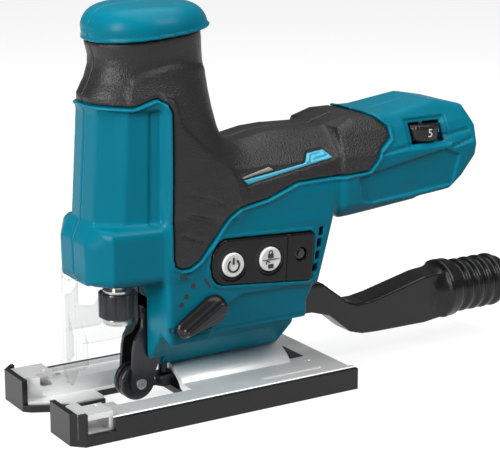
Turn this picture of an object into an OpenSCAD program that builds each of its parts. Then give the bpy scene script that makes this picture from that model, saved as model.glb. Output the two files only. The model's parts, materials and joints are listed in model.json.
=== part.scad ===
// Cordless barrel-grip jigsaw: clamshell housing with rubber grips, brushless motor, reduction gear,
// reciprocating plunger, orbital roller, tilting aluminium shoe and dust nozzle.
// +X is the cutting direction, +Y the left side of the tool, +Z up.
// The origin is the middle of the sole's underside. The shoe tilts about the X axis.

/* [Sole] */
// Width of the sole across the cut
sole_w = 77; // [74:0.5:80]
// Length of the sole along the cut
sole_l = 146.2; // [146:0.1:147]
// Thickness of the plastic cover under the shoe
cover_t = 3; // [2.6:0.1:3.2]
// Height of the shoe's floor above the sole
floor_z = 9; // [8.6:0.1:9.2]
// Outer radius of the saddle arch that the shoe tilts on
arch_r = 15.5; // [15.3:0.1:15.6]

/* [Drive] */
// Height of the motor shaft
motor_z = 64; // [63.8:0.1:64.2]
// Radius of the motor's stator
stator_r = 17; // [15:0.5:17.5]
// Teeth on the motor pinion
pinion_teeth = 9; // [9:1:9]
// Teeth on the reduction gear
gear_teeth = 39; // [39:1:39]
// Tooth module
tooth_module = 1; // [1:0.01:1]
// Radius of the crank pin's circle, half the stroke
crank_r = 9; // [8:0.5:9]
// Distance of the blade's line in front of the origin
blade_x = 32.5; // [32.4:0.1:32.6]
// Radius of the plunger rod
rod_r = 4; // [3.5:0.1:4]

/* [Housing] */
// Wall thickness of the clamshell
wall = 2.6; // [2.2:0.1:2.8]
// Depth to which the rubber grips are let into the clamshell
grip_t = 1.4; // [1:0.1:1.5]
// Height of the tool at the top of the knob
top_z = 178.5; // [178:0.5:180]

/* [Fits] */
// Radial clearance of a turning or sliding shaft
run_gap = 0.04; // [0.02:0.01:0.08]
// Clearance between loose neighbours
gap = 0.3; // [0.2:0.05:0.4]

/* [Hidden] */
$fn = 64;

sole_half = sole_w / 2;
front_x = sole_l / 2;
gear_z = motor_z + tooth_module * (pinion_teeth + gear_teeth) / 2;
yoke_z = gear_z - 4;

// Outlines of the body in side view, plan and section, each wound anticlockwise.
column_side = [[-18, 62], [50, 62], [50.1, 86.3], [46.7, 137], [50.3, 141.3], [45.6, 153.6], [45, 156],
    [47.5, 165], [46.5, 171], [40, 176], [30, top_z], [6, top_z - 1], [-4, 174], [-9, 168], [-10.5, 160.5],
    [-11.4, 156], [-13.3, 140], [-20, 116]];
column_plan = [[49.5, -8], [49.5, 8], [38, 19.5], [27, 23], [18, 26.5], [0, 26.5], [-12, 22], [-20, 12],
    [-20, -12], [-12, -22], [0, -26.5], [18, -26.5], [27, -23], [38, -19.5]];
nose_side = [[10, 60.5], [54.2, 60.5], [55, 79], [49.8, 86.3], [10, 86.3]];
nose_plan = [[55, -12], [55, 12], [46, 23.5], [30, 25.5], [18, 27], [10, 27], [10, -27], [18, -27],
    [30, -25.5], [46, -23.5]];
lower_side = [[-49, 15.6], [22, 15.6], [22, 100], [-66, 100], [-63.5, 78], [-61, 69.3], [-57.3, 56.7],
    [-54.2, 46.8], [-51.6, 42.5], [-51.6, 34]];
lower_section = [[2.2, 15.6], [19.8, 35.4], [21.5, 34.6], [27, 33], [27.6, 50], [27, 80], [23, 100],
    [-23, 100], [-27, 80], [-27.6, 50], [-27, 33], [-21.5, 34.6], [-19.8, 35.4], [-2.2, 15.6]];
barrel_side = [[-110, 82], [-63.5, 78], [-10, 70], [-10, 119], [-25, 117.8], [-46, 120.5], [-68, 119.4],
    [-80, 122.5], [-110, 122.5]];
barrel_section = [[-25, 70], [25, 70], [25.5, 96], [22, 110], [12, 122.5], [-12, 122.5], [-22, 110],
    [-25.5, 96]];
rear_side = [[-64, 78], [-64, 116], [-79, 122], [-101, 122], [-126, 126], [-143, 122.5], [-147, 113],
    [-145, 99.5], [-137, 90], [-130, 84.7], [-100, 81.2], [-75, 77.7]];
rear_section = [[-21, 77], [21, 77], [27, 84], [27, 105], [22, 116], [15, 126], [-15, 126], [-22, 116],
    [-27, 105], [-27, 84]];
grip_outline = [[24.9, 141.3], [18.8, 135.3], [19.5, 69.6], [18.1, 66.3], [11.2, 66.2], [-1.3, 77.4],
    [-8.9, 87.5], [-29.3, 91.7], [-45, 97.5], [-69.2, 97.5], [-83, 98.2], [-90.6, 107.6], [-96, 117.3],
    [-82.3, 130], [-30, 130], [-19.8, 130], [-14, 165], [45, 165]];
screw_places = [[12, 132], [24, 160], [-45, 108], [-76, 108], [-44, 39.5], [13, 52.5]];

function inward(a, b) = [a.y - b.y, b.x - a.x] / norm(b - a);

// The outline p, wound anticlockwise, moved inwards by d.
function shrink(p, d) = [for (i = [0:len(p) - 1])
    let (n = len(p), before = inward(p[(i + n - 1) % n], p[i]), after = inward(p[i], p[(i + 1) % n]))
    p[i] + d * (before + after) / (1 + before * after)];

function reversed(p) = [for (i = [len(p) - 1:-1:0]) p[i]];

// An X-Z outline given depth from y0 to y1.
module along_y(points, y0 = -50, y1 = 50) {
    translate([0, y1, 0]) rotate([90, 0, 0]) linear_extrude(y1 - y0) polygon(points);
}

// A Y-Z outline given length from x0 to x1.
module along_x(points, x0, x1) {
    translate([x0, 0, 0]) rotate([90, 0, 90]) linear_extrude(x1 - x0) polygon(points);
}

module along_z(points, z0, z1) {
    translate([0, 0, z0]) linear_extrude(z1 - z0) polygon(points);
}

module rod_x(r, x0, x1, y = 0, z = 0) {
    translate([x0, y, z]) rotate([0, 90, 0]) cylinder(r = r, h = x1 - x0);
}

module rod_y(r, y0, y1, x = 0, z = 0) {
    translate([x, y1, z]) rotate([90, 0, 0]) cylinder(r = r, h = y1 - y0);
}

module rod_z(r, z0, z1, x = 0, y = 0) {
    translate([x, y, z0]) cylinder(r = r, h = z1 - z0);
}

// A box between two corners.
module block(low, high) {
    translate(low) cube(high - low);
}

// The children on the left side, and their mirror image on the right.
module both_sides() {
    children();
    mirror([0, 1, 0]) children();
}

// The whole outside of the body, moved inwards by d.
module body(d = 0) {
    intersection() {
        along_y(shrink(column_side, d));
        along_z(shrink(column_plan, d), 50, 190);
    }
    intersection() {
        along_y(shrink(nose_side, d));
        along_z(shrink(nose_plan, d), 50, 95);
    }
    intersection() {
        along_y(shrink(lower_side, d));
        along_x(shrink(lower_section, d), -70, 30);
    }
    intersection() {
        along_y(shrink(barrel_side, d));
        along_x(shrink(barrel_section, d), -110, -5);
    }
    intersection() {
        along_y(shrink(rear_side, d));
        along_x(shrink(rear_section, d), -150, -60);
    }
}

module grip_zone() {
    along_y(grip_outline);
}

// Solid supports inside the shell: bearing seats, bush shelves and screw posts.
module supports() {
    intersection() {
        body(grip_t + 0.2);
        union() {
            block([-44, -50, 50], [-39, 50, 85]);
            block([-2, -50, 52], [3, 50, 84]);
            block([-34, -50, 41], [-31, 50, 90]);
            block([-15, -50, 41], [-12, 50, 90]);
            block([20, -50, 67.3], [26.5, 50, 72.8]);
            block([20, -9.3, 67.3], [49, 9.3, 72.8]);
            block([20, -50, 106], [48, 50, 114]);
            block([-86, -50, 84], [-82, 50, 119]);
            block([-150, -20.3, 80], [-86, 20.3, 107.6]);
            block([-150, -20.3, 80], [-128, 20.3, 122]);
            block([7.5, -9, 15.5], [13.2, 9, 40]);
            for (p = screw_places) rod_y(3.6, -40, 40, p.x, p.y);
        }
    }
}

// Everything cut out of the shell and its supports.
module openings() {
    rod_x(arch_r + gap, -60, 7.5 + gap);
    rod_x(8, -44, 3, 0, motor_z);
    rod_x(stator_r, -36, -10, 0, motor_z);
    rod_z(7, 67.3, 114, blade_x);
    block([blade_x - 12, -14.9, 72.8], [blade_x + 4, 14.9, 106]);
    rod_z(9.2, 40, 67.3, blade_x);
    block([24, -20, 50], [43.5, 20, 67.3]);
    block([24, -13, 50], [51.4, 13, 67.3]);
    block([13.5, -6.7, 10], [30, 6.7, 50]);
    block([-2, -6.7, 38], [14, 6.7, 50]);
    rod_y(4 + run_gap, 0, 40, 2.5, 46);
    rod_y(1.5, -40, 40, 17, 34);
    rod_z(2, 9, 28, 10.5);
    block([-160, -18.5, 86], [-128, 18.5, 118]);
    block([-130, -18.5, 86], [-86, 18.5, 106]);
    block([-88, -13, 87], [-80, 13, 104]);
    block([-127, 10, 107.6], [-109, 40, 116.8]);
    block([-60, -7.5, 28.9], [-46, 7.5, 42.3]);
    both_sides() for (z = [57.4, 62.9, 68.4, 73.8]) block([-66, 19, z - 1], [-51, 29, z + 1]);
    along_y(shrink(panel_outline, -0.1), 24.9, 40);
    block([-47, 19, 55], [-2, 25, 75]);
    for (p = screw_places) {
        rod_y(1.5, -40, 12, p.x, p.y);
        rod_y(3.1, -40, -20, p.x, p.y);
    }
}

panel_outline = [[-3.1, 57.1], [-1.2, 66.5], [-5.7, 77], [-52.6, 74.4], [-51.3, 52.2]];
panel_screw = [-45.2, 65.2];

module shell() {
    difference() {
        union() {
            difference() {
                body();
                difference() {
                    intersection() {
                        body(-1);
                        grip_zone();
                    }
                    body(grip_t);
                }
                body(wall);
            }
            supports();
        }
        openings();
    }
}

module half(side) {
    intersection() {
        children();
        translate([-200, side > 0 ? 0 : -100, 0]) cube([400, 100, 300]);
    }
}

module housing_left() {
    color("teal") half(1) shell();
}

module housing_right() {
    color("teal") half(-1) shell();
}

module grip(side) {
    color("dimgray") half(side) difference() {
        intersection() {
            body();
            grip_zone();
        }
        body(grip_t);
        openings();
    }
}

// Recessed bezel that carries both push buttons.
module switch_panel() {
    color("black") difference() {
        along_y(panel_outline, 25, 28.2);
        for (x = [start_x, lock_x]) rod_y(button_r + gap, 20, 30, x, button_z);
        rod_y(3, 26.5, 30, panel_screw.x, panel_screw.y);
        rod_y(1.6, 20, 30, panel_screw.x, panel_screw.y);
    }
}

start_x = -9.7;
lock_x = -28.8;
button_z = 65.2;
button_r = 5.5;

module push_button(x) {
    rod_y(button_r, 25.3, 28.9, x, button_z);
    rod_y(2, 23.9, 25.3, x, button_z);
}

module start_button() {
    color("white") push_button(start_x);
}

module lock_button() {
    color("white") push_button(lock_x);
}

module tact_switch(x) {
    block([x - 3, 20.6, button_z - 3], [x + 3, 22.2, button_z + 3]);
    rod_y(1.6, 22.2, 22.8, x, button_z);
}

module start_switch() {
    color("silver") tact_switch(start_x);
}

module lock_switch() {
    color("silver") tact_switch(lock_x);
}

module control_board() {
    color("green") block([-46.5, 19, 56], [-3, 20.6, 74.5]);
}

// Battery contact carrier at the front of the battery socket.
module terminal_block() {
    color("black") difference() {
        block([-88, -13, 87], [-80, 13, 104]);
        for (y = [-9, -3, 3, 9]) block([-88, y - 0.5, 90], [-82, y + 0.5, 101]);
    }
}

module contact_blades() {
    color("gold") for (y = [-9, -3, 3, 9]) block([-95, y - 0.5, 90], [-82, y + 0.5, 101]);
}

module motor_stator() {
    color("gray") difference() {
        rod_x(stator_r, -36, -10, 0, motor_z);
        rod_x(10, -36, -10, 0, motor_z);
        for (a = [0:60:300]) translate([0, 0, motor_z]) rotate([a, 0, 0]) translate([0, 0, 12.2])
            rod_x(1.6, -36, -10);
    }
}

module bearing(x0, x1) {
    difference() {
        rod_x(8, x0, x1, 0, motor_z);
        rod_x(2.5 + run_gap, x0, x1, 0, motor_z);
    }
}

module front_bearing() {
    color("silver") bearing(-2, 3);
}

module rear_bearing() {
    color("silver") bearing(-44, -39);
}

module rotor_shaft() {
    color("silver") rod_x(2.5, -45, 15, 0, motor_z);
}

module rotor_magnet() {
    color("dimgray") difference() {
        rod_x(9.6, -36, -10, 0, motor_z);
        rod_x(2.5, -36, -10, 0, motor_z);
    }
}

module cooling_fan() {
    color("black") difference() {
        union() {
            rod_x(15, -8.6, -7.6, 0, motor_z);
            rod_x(4.5, -8.6, -3, 0, motor_z);
            for (a = [0:40:320]) translate([0, 0, motor_z]) rotate([a, 0, 0])
                block([-7.6, -0.6, 4], [-3.4, 0.6, 14.5]);
        }
        rod_x(2.5, -9, -2, 0, motor_z);
    }
}

// One straight tooth standing on a wheel of pitch radius r, pointing along +Y of its own plane.
function tooth(r, at) = let (m = tooth_module, share = 360 / (2 * r / m))
    [for (p = [[r - 1.1 * m, -0.27], [r - 0.1 * m, -0.19], [r + 0.8 * m, -0.09], [r + 0.8 * m, 0.09],
        [r - 0.1 * m, 0.19], [r - 1.1 * m, 0.27]]) p[0] * [sin(at + p[1] * share), cos(at + p[1] * share)]];

function wheel_points(teeth, at) = [for (i = [0:teeth - 1])
    each tooth(teeth * tooth_module / 2, at + i * 360 / teeth)];

module toothed_wheel(teeth, at, x0, x1, z) {
    translate([0, 0, z]) along_x(reversed(wheel_points(teeth, at)), x0, x1);
}

module drive_pinion() {
    color("silver") difference() {
        toothed_wheel(pinion_teeth, 0, 6.5, 15, motor_z);
        rod_x(2.5, 6, 16, 0, motor_z);
    }
}

module reduction_gear() {
    color("gray") difference() {
        toothed_wheel(gear_teeth, 180 + 180 / gear_teeth, 8, 14, gear_z);
        rod_x(4 + run_gap, 7, 15, 0, gear_z);
        crank_at() rod_x(2.5, 7, 15);
    }
}

// The crank pin stands four millimetres below the gear's centre at rest.
crank_angle = acos(4 / crank_r);

module crank_at() {
    translate([0, 0, gear_z]) rotate([crank_angle, 0, 0]) translate([0, 0, -crank_r]) children();
}

module crank_pin() {
    color("silver") crank_at() {
        rod_x(2.5, 8, 14);
        rod_x(3, 14, 20);
    }
}

module balance_weight() {
    color("gray") translate([0, 0, gear_z]) rotate([crank_angle, 0, 0]) intersection() {
        difference() {
            rod_x(18, 14, 17);
            rod_x(5, 13, 18);
        }
        block([14, -18, 1], [17, 18, 18]);
    }
}

module gear_plate() {
    color("silver") difference() {
        block([3, -20, 54], [6, 20, 104]);
        rod_x(3.2, 2, 7, 0, motor_z);
        rod_x(4, 2, 7, 0, gear_z);
    }
}

module gear_shaft() {
    color("silver") {
        rod_x(4, 3, 14.2, 0, gear_z);
    }
}

module bush(z0, z1) {
    difference() {
        rod_z(7, z0, z1, blade_x);
        rod_z(rod_r + run_gap, z0, z1, blade_x);
    }
}

module lower_bush() {
    color("goldenrod") bush(67.3, 72.8);
}

module upper_bush() {
    color("goldenrod") bush(106, 114);
}

module plunger_rod() {
    color("silver") rod_z(rod_r, 41, 122, blade_x);
}

module scotch_yoke() {
    color("gray") difference() {
        block([22, -14.5, yoke_z - 5.5], [blade_x + 2, 14.5, yoke_z + 5.5]);
        block([20, -12.2, yoke_z - 2.7], [28, 12.2, yoke_z + 2.7]);
        rod_z(rod_r, yoke_z - 6, yoke_z + 6, blade_x);
        both_sides() block([29, 6, yoke_z - 6], [40, 15, yoke_z + 6]);
    }
}

// Slotted holder on the rod's lower end that takes a T-shank blade.
module blade_holder() {
    color("silver") difference() {
        rod_z(6.6, 38.5, 41, blade_x);
        block([blade_x - 4, -0.8, 38], [blade_x + 4, 0.8, 42]);
    }
}

module clamp_sleeve() {
    color("black") difference() {
        rod_z(8.6, 41.8, 52.6, blade_x);
        rod_z(rod_r + run_gap, 41, 54, blade_x);
        for (a = [0:30:330]) translate([blade_x, 0, 0]) rotate([0, 0, a]) rod_z(0.7, 41, 54, 8.8);
    }
}

// Ring that retains the sleeve on the rod.
module sleeve_ring() {
    color("silver") difference() {
        rod_z(6.6, 52.9, 54, blade_x);
        rod_z(rod_r, 52, 56, blade_x);
    }
}

module orbit_shaft() {
    color("gray") difference() {
        rod_y(4, 7, 27, 2.5, 46);
        block([2.5, 6, 41], [8, 12, 51]);
    }
}

// Orbital setting lever: a tapering thumb lever that lies along the left side.
module orbit_lever() {
    color("dimgray") translate([2.5, 28, 46]) rotate([0, lever_angle, 0]) difference() {
        union() {
            rod_y(7.5, 0, 3);
            along_y([[0, -7.5], [15.5, -4.5], [15.5, 4.5], [0, 7.5]], 0, 2.2);
            rod_y(4.5, 0, 2.2, 15.5, 0);
            along_y([[-5.5, -2.4], [15, -1.6], [15, 1.6], [-5.5, 2.4]], 2.2, 8);
        }
        rod_y(1, -1, 3, 0, 0);
    }
}
lever_angle = 23;

// Fork that holds the guide roller and rocks on its pin to push the blade forward.
module retainer() {
    color("black") difference() {
        union() {
            both_sides() {
                along_y(reversed(retainer_outline), 4.3, 6.3);
                rod_y(4.8, 4.3, 6.3, 25, 10.5);
            }
            block([16.5, -6.3, 38], [21, 6.3, 44.5]);
        }
        rod_y(1.5 + run_gap, -10, 10, 17, 34);
        rod_y(2, -10, 10, 25, 10.5);
    }
}
retainer_outline = [[14.2, 22.5], [21.4, 7.4], [29.4, 12.4], [28.4, 26], [27.4, 30.5], [23.8, 36], [23, 45],
    [15, 45], [14, 39], [14, 27]];

module retainer_pivot_pin() {
    color("silver") rod_y(1.5, -16, 16, 17, 34);
}

module roller_pin() {
    color("silver") {
        rod_y(2, -6.9, 6.9, 25, 10.5);
        both_sides() rod_y(2.5, 6.3, 7.1, 25, 10.5);
    }
}

// Grooved guide roller behind the blade.
module roller() {
    color("gray") translate([25, 0, 10.5]) rotate([90, 0, 0]) difference() {
        rotate_extrude() polygon([[0, -4.1], [7.8, -4.1], [8.5, -3.4], [8.5, -1.2], [6.8, -0.7], [6.8, 0.7],
            [8.5, 1.2], [8.5, 3.4], [7.8, 4.1], [0, 4.1]]);
        cylinder(r = 2 + run_gap, h = 20, center = true);
    }
}

// Straight bar inside the arch that the bolt draws up against it.
module clamp_plate() {
    color("dimgray") difference() {
        intersection() {
            block([-30, -4.4, 9.6], [14.5, 4.4, 12.5]);
            rod_x(arch_r - 3 - gap, -30, 14.5);
        }
        rod_z(2, 9, 13, 10.5);
    }
}

module clamp_bolt() {
    color("silver") translate([10.5, 0, 0]) difference() {
        union() {
            translate([0, 0, 5.8]) cylinder(r = 4, h = 3.8, $fn = 6);
            rod_z(2, 9.6, 28);
        }
        translate([0, 0, 5]) cylinder(r = 2, h = 2.6, $fn = 6);
    }
}

// Cast aluminium shoe: floor, raised edges, saddle arch and two forward horns.
module shoe() {
    color("silver") difference() {
        union() {
            block([-70, -36, cover_t], [70.5, 36, floor_z]);
            both_sides() {
                along_x([[32.5, 9], [36, 9], [36, 9.7], [35.5, 10.2], [33.7, 10.2]], -70, 54);
                block([54, 24.5, floor_z], [70.5, 36, 13]);
                block([63, 17, floor_z], [70.5, 36, 13]);
            }
            rod_x(arch_r, -50, 7.5);
        }
        translate([-100, -50, -50 + cover_t]) cube([200, 100, 50]);
        rod_x(arch_r - 3, -60, 8);
        block([-50, -12.5, 0], [-60, 12.5, 5]);
        along_x(opening_section, 7.5, 62);
        along_z([[59.9, -16], [75, -24], [75, 24], [59.9, 16]], 3.9, 20);
        block([7, -opening_half, 0], [38, opening_half, 6]);
        along_z([[37, -4], [37, 4], [52, 4], [75, 16], [75, -16], [52, -4]], -1, 6);
        both_sides() {
            block([56, 20, 5], [66.5, 40, 10.5]);
            rod_z(1.2, 9.5, 14, 58, 26.5);
            rod_z(1.2, 5, 14, 49, 29);
            rod_z(1.5, 4, 14, -58, 15);
        }
        along_z([[-58, 25], [-26, 25], [-25, 26], [-26, 27], [-58, 27]], 8, 12);
    }
}
opening_half = 14.3;
opening_section = [[-21.1, 9.1], [-16, 4], [-16, 3.9], [16, 3.9], [16, 4], [21.1, 9.1]];

// Plastic cover that clips round the shoe and slides on the work.
module sole_cover() {
    color("black") difference() {
        along_z(cover_outline, 0, cap_z);
        block([-80, -36.1, cover_t], [70.6, 36.1, 20]);
        block([-80, -50, 9.9], [67, 50, 20]);
        block([-80, -50, cover_t], [-front_x + 3, 50, 20]);
        block([60, -14.3, cover_t], [80, 14.3, 20]);
        both_sides() block([54, 30, 4.6], [67, 50, 20]);
        block([4.5, -opening_half, -1], [38, opening_half, 4]);
        block([37, -3, -1], [60, 3, 4]);
    }
}
cap_z = 14.3;
cover_outline = [[-front_x, -31], [-front_x + 3, -sole_half], [front_x - 5, -sole_half],
    [front_x, -sole_half + 5], [front_x, -14.3], [front_x - 3, -11.3], [front_x - 20, -3],
    [front_x - 20, 3], [front_x - 3, 11.3], [front_x, 14.3], [front_x, sole_half - 5],
    [front_x - 5, sole_half], [-front_x + 3, sole_half], [-front_x, 31]];

// Clear guard in front of the blade; it slides up into the nose.
module blade_guard() {
    color([0.9, 0.95, 1, 0.4]) {
        along_x([[-3, 13.5], [3, 13.5], [8, 22], [8, 66], [-8, 66], [-8, 22]], 55.6, 57.4);
        both_sides() {
            along_y([[51, 23], [53, 21], [56, 21], [56, 33.5], [51, 33.5]], 6.4, 8);
            along_z([[50, 10.2], [55.6, 6.2], [57.4, 8], [51.5, 11.8], [50, 11.8]], 35, 52);
            along_y(reversed(wing_outline), 10.2, 11.8);
        }
    }
}
wing_outline = [[28.2, 57.5], [51, 57.5], [51, 34.8], [37, 34.8], [31.5, 36.5], [28.5, 41]];

module speed_dial() {
    color("black") difference() {
        rod_z(9, 108.4, 116, -118, 17.3);
        rod_z(1.5 + run_gap, 108, 117, -118, 17.3);
        for (a = [0:20:340]) translate([-118, 17.3, 0]) rotate([0, 0, a]) rod_z(0.5, 108, 117, 9.1);
    }
}

module dial_spindle() {
    color("silver") rod_z(1.5, 107.6, 116.7, -118, 17.3);
}

// Plastic duct from the back of the housing to a ribbed cuff for a hose.
module dust_nozzle() {
    color("black") {
        difference() {
            union() {
                along_y(reversed(duct_outline), -7.3, 7.3);
                rod_x(14.5, -151, -144, 0, nozzle_z);
                rod_x(12.4, -183.5, -151, 0, nozzle_z);
                for (x = [-157, -163.5, -170, -176.5]) rod_x(13.2, x - 2, x + 2, 0, nozzle_z);
            }
            along_y(shrink(reversed(duct_outline), 1.8), -5.5, 5.5);
            rod_x(nozzle_bore, -190, -148, 0, nozzle_z);
            block([-149, -5.5, nozzle_z - 8], [-140, 5.5, nozzle_z + 7]);
            block([-56, -5.5, 31.3], [-40, 5.5, 40.2]);
        }
    }
}
nozzle_z = 27;
nozzle_bore = 10.5;
duct_outline = [[-46, 42], [-46, 29.5], [-70, 28], [-88, 15.2], [-104, 13.2], [-132, 13], [-144.5, 14.5],
    [-144.5, 38], [-122, 36], [-95, 31.4], [-88, 31.5], [-72, 42]];

module housing_screws() {
    color("silver") {
        for (p = screw_places) {
            rod_y(1.5, -22, 12, p.x, p.y);
            rod_y(2.9, -22, -20, p.x, p.y);
        }
        rod_y(1.6, 25, 28, panel_screw.x, panel_screw.y);
    }
}

housing_left();
housing_right();
grip(1);  // grip_left
grip(-1);  // grip_right
switch_panel();
control_board();
start_switch();
lock_switch();
terminal_block();
contact_blades();
motor_stator();
front_bearing();
rear_bearing();
gear_plate();
gear_shaft();
lower_bush();
upper_bush();
dial_spindle();
retainer_pivot_pin();
clamp_plate();
clamp_bolt();
dust_nozzle();
housing_screws();
rotor_shaft();
rotor_magnet();
cooling_fan();
drive_pinion();
reduction_gear();
crank_pin();
balance_weight();
plunger_rod();
scotch_yoke();
blade_holder();
clamp_sleeve();
sleeve_ring();
orbit_lever();
orbit_shaft();
retainer();
roller();
roller_pin();
shoe();
sole_cover();
start_button();
lock_button();
speed_dial();
blade_guard();
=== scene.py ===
"""Looks of the cordless barrel-grip jigsaw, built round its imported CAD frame.

Sizes are in millimetres in the same frame as the CAD: +X is the cutting direction, +Y the left side, +Z up.
"""

import json
import math

import bmesh
import bpy
import numpy as np
from mathutils import Matrix, Vector


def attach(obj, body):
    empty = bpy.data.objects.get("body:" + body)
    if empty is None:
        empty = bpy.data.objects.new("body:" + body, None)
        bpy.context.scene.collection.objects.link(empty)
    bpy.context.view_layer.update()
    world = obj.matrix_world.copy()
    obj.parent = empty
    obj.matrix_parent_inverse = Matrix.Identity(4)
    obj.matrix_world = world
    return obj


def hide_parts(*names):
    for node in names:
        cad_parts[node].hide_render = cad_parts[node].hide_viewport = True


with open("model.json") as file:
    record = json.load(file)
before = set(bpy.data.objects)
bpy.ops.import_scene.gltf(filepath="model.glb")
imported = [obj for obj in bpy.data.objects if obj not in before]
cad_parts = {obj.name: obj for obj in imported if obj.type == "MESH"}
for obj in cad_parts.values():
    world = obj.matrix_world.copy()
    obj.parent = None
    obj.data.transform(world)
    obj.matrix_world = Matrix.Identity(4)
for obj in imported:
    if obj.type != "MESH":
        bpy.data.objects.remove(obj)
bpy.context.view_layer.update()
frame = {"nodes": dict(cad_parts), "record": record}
nodes = frame["nodes"]

MM = 0.001
SHELL_STEP = 0.65  # grid of the sculpted housing
FINE_STEP = 0.5  # grid of the small sculpted pieces
WALL = 2.6
GRIP_DEPTH = 1.4


# ---------------------------------------------------------------- distance fields


def smooth_max(a, b, blend):
    """The larger of two fields, with their edge rounded over about `blend` millimetres."""
    h = np.maximum(blend - np.abs(a - b), 0) / blend
    return np.maximum(a, b) + h * h * blend / 4


def smooth_min(a, b, blend):
    return -smooth_max(-a, -b, blend)


def step_up(value, low, high):
    """0 below low, 1 above high, smooth between."""
    t = np.clip((value - low) / (high - low), 0, 1)
    return t * t * (3 - 2 * t)


def outline(u, v, points):
    """Signed distance to a closed outline in the plane of u and v, negative inside."""
    points = np.asarray(points, float)
    nearest = np.full(np.broadcast(u, v).shape, 1e9)
    inside = np.zeros(nearest.shape, bool)
    for a, b in zip(points, np.roll(points, -1, axis=0)):
        edge = b - a
        t = np.clip(((u - a[0]) * edge[0] + (v - a[1]) * edge[1]) / (edge @ edge), 0, 1)
        nearest = np.minimum(nearest, (u - a[0] - t * edge[0]) ** 2 + (v - a[1] - t * edge[1]) ** 2)
        if a[1] != b[1]:
            crosses = (v >= min(a[1], b[1])) & (v < max(a[1], b[1]))
            inside ^= crosses & (u < a[0] + (v - a[1]) * edge[0] / edge[1])
    return np.where(inside, -1, 1) * np.sqrt(nearest)


def stroke(u, v, points):
    """Distance to an open line through the points."""
    points = np.asarray(points, float)
    nearest = np.full(np.broadcast(u, v).shape, 1e9)
    for a, b in zip(points, points[1:]):
        edge = b - a
        t = np.clip(((u - a[0]) * edge[0] + (v - a[1]) * edge[1]) / (edge @ edge), 0, 1)
        nearest = np.minimum(nearest, (u - a[0] - t * edge[0]) ** 2 + (v - a[1] - t * edge[1]) ** 2)
    return np.sqrt(nearest)


def box(x, y, z, low, high):
    """Field of a block between two corners."""
    faces = [np.maximum(low[i] - c, c - high[i]) for i, c in enumerate((x, y, z))]
    return np.maximum(np.maximum(faces[0], faces[1]), faces[2])


def round_bar(u, v, w, centre, radius, start, end):
    """Field of a cylinder whose axis runs along w."""
    around = np.sqrt((u - centre[0]) ** 2 + (v - centre[1]) ** 2) - radius
    return np.maximum(around, np.maximum(start - w, w - end))


def grid(low, high, step):
    """The three coordinate arrays of a grid, shaped so that they broadcast together."""
    axes = [np.arange(low[i], high[i] + step, step) for i in range(3)]
    return axes[0][:, None, None], axes[1][None, :, None], axes[2][None, None, :]


def corner_values(field):
    """The field at the eight corners of every cell, keyed by the corner's offset."""
    nx, ny, nz = field.shape
    return {
        (i, j, k): field[i : nx - 1 + i, j : ny - 1 + j, k : nz - 1 + k]
        for i in (0, 1)
        for j in (0, 1)
        for k in (0, 1)
    }


def net(field, low, step):
    """Surface net of a field: vertices in millimetres and the quads that join them."""
    corners = corner_values(field)
    below = sum((value < 0).astype(np.int8) for value in corners.values())
    active = (below > 0) & (below < 8)
    cells = np.argwhere(active)
    values = {key: value[active] for key, value in corners.items()}
    total = np.zeros((len(cells), 3))
    count = np.zeros(len(cells))
    for a in corners:
        for axis in range(3):
            if a[axis] == 0:
                b = tuple(c + (i == axis) for i, c in enumerate(a))
                va, vb = values[a], values[b]
                cut = (va < 0) != (vb < 0)
                t = np.where(cut, va / np.where(cut, va - vb, 1), 0)
                point = np.tile(np.array(a, float), (len(cells), 1))
                point[:, axis] += t
                total += point * cut[:, None]
                count += cut
    vertices = (cells + total / count[:, None]) * step + np.array(low)
    index = np.full(active.shape, -1, np.int64)
    index[active] = np.arange(len(cells))
    quads = []
    for axis in range(3):
        p, q = (axis + 1) % 3, (axis + 2) % 3
        ahead = np.roll(field, -1, axis)
        cut = (field < 0) != (ahead < 0)
        trim = [slice(1, -1)] * 3
        inner = np.zeros_like(cut)
        inner[tuple(trim)] = cut[tuple(trim)]
        at = np.argwhere(inner)
        ring = []
        for dp, dq in ((1, 1), (0, 1), (0, 0), (1, 0)):
            cell = at.copy()
            cell[:, p] -= dp
            cell[:, q] -= dq
            ring.append(index[cell[:, 0], cell[:, 1], cell[:, 2]])
        quad = np.stack(ring, 1)
        outward = field[inner] < 0
        quads.append(np.where(outward[:, None], quad, quad[:, ::-1]))
    return vertices, np.concatenate(quads)


def mesh_object(name, vertices, faces, material, smooth=True):
    mesh = bpy.data.meshes.new(name)
    mesh.from_pydata((np.asarray(vertices, float) * MM).tolist(), [], np.asarray(faces).tolist())
    mesh.validate()
    mesh.materials.append(material)
    mesh.polygons.foreach_set("use_smooth", [smooth] * len(mesh.polygons))
    obj = bpy.data.objects.new(name, mesh)
    bpy.context.scene.collection.objects.link(obj)
    return obj


def sculpt(name, field, low, step, material, mirrored=False):
    """An object from the zero surface of a field; mirrored puts it on the other side of the middle plane."""
    vertices, quads = net(field, low, step)
    if mirrored:
        vertices = vertices * np.array([1, -1, 1])
        quads = quads[:, ::-1]
    return mesh_object(name, vertices, quads, material)


# ---------------------------------------------------------------- materials


def srgb(red, green, blue):
    """A colour picked in 0-255 display values, as linear light."""
    channels = []
    for c in (red, green, blue):
        c = c / 255
        channels.append(c / 12.92 if c <= 0.04045 else ((c + 0.055) / 1.055) ** 2.4)
    return (*channels, 1)


# How sharply convex the mesh is where an edge starts to show, and where it shows in full.
EDGE_START = 0.53
EDGE_FULL = 0.62
GRAIN_HEIGHT = 0.4 * MM
ROUGHNESS_SPREAD = 0.08
DRIFT_SCALE = 35


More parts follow.
